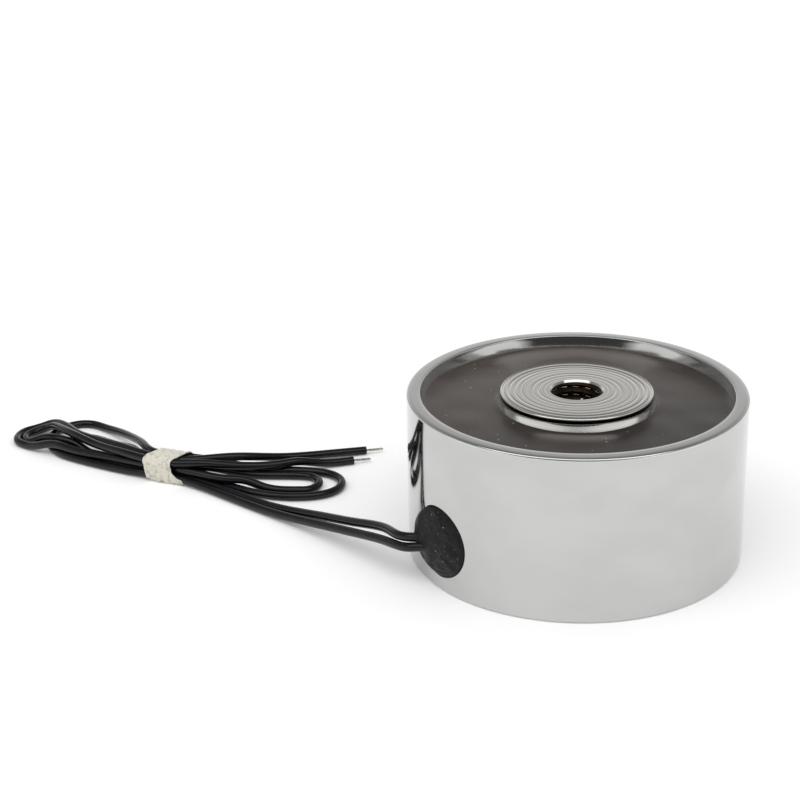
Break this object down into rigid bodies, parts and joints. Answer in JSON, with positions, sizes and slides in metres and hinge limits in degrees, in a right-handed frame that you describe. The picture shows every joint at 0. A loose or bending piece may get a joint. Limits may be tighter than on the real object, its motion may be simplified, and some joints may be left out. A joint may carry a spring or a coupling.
{
  "type": "holding electromagnet",
  "caption": "Round pot holding electromagnet: a plated steel cup with a turned pole core, a potted coil, a tapped centre hole and two flexible leads tied in a hank.",
  "frame": {"origin": "centre of the mounting face, on the pot's axis", "axes": "+Z along the pot's axis towards the holding face; the leads lie on the -X side"},
  "size_m": [0.0979, 0.0524, 0.02],
  "materials": {
    "plated_steel": "bright nickel plating, mirror-like",
    "turned_steel": "plated turned face with fine concentric tool marks",
    "bobbin_nylon": "moulded, matt",
    "enamelled_copper": "enamelled copper wire",
    "polyester_tape": "thin smooth tape",
    "potting_epoxy": "cast epoxy, semi-gloss, dusty",
    "seal_compound": "poured sealing compound, granular, matt",
    "sleeve_plastic": "shrunk sleeve",
    "solder": "soldered joint",
    "lead_pvc": "soft insulation, semi-gloss",
    "tinned_copper": "tinned strands",
    "paper_band": "creased paper tape"
  },
  "bodies": {
    "root": {"pot_shell": "plated_steel", "pole_core": "turned_steel", "coil_bobbin": "bobbin_nylon", "coil_winding": "enamelled_copper", "winding_tape": "polyester_tape", "potting_compound": "potting_epoxy", "lead_seal": "seal_compound", "splice_sleeve_a": "sleeve_plastic", "splice_sleeve_b": "sleeve_plastic", "solder_joint_a": "solder", "solder_joint_b": "solder", "coil_tail_a": "enamelled_copper", "coil_tail_b": "enamelled_copper", "lead_a": "lead_pvc", "lead_b": "lead_pvc", "lead_tip_a": "tinned_copper", "lead_tip_b": "tinned_copper", "hank_tie": "paper_band"}
  },
  "joints": []
}
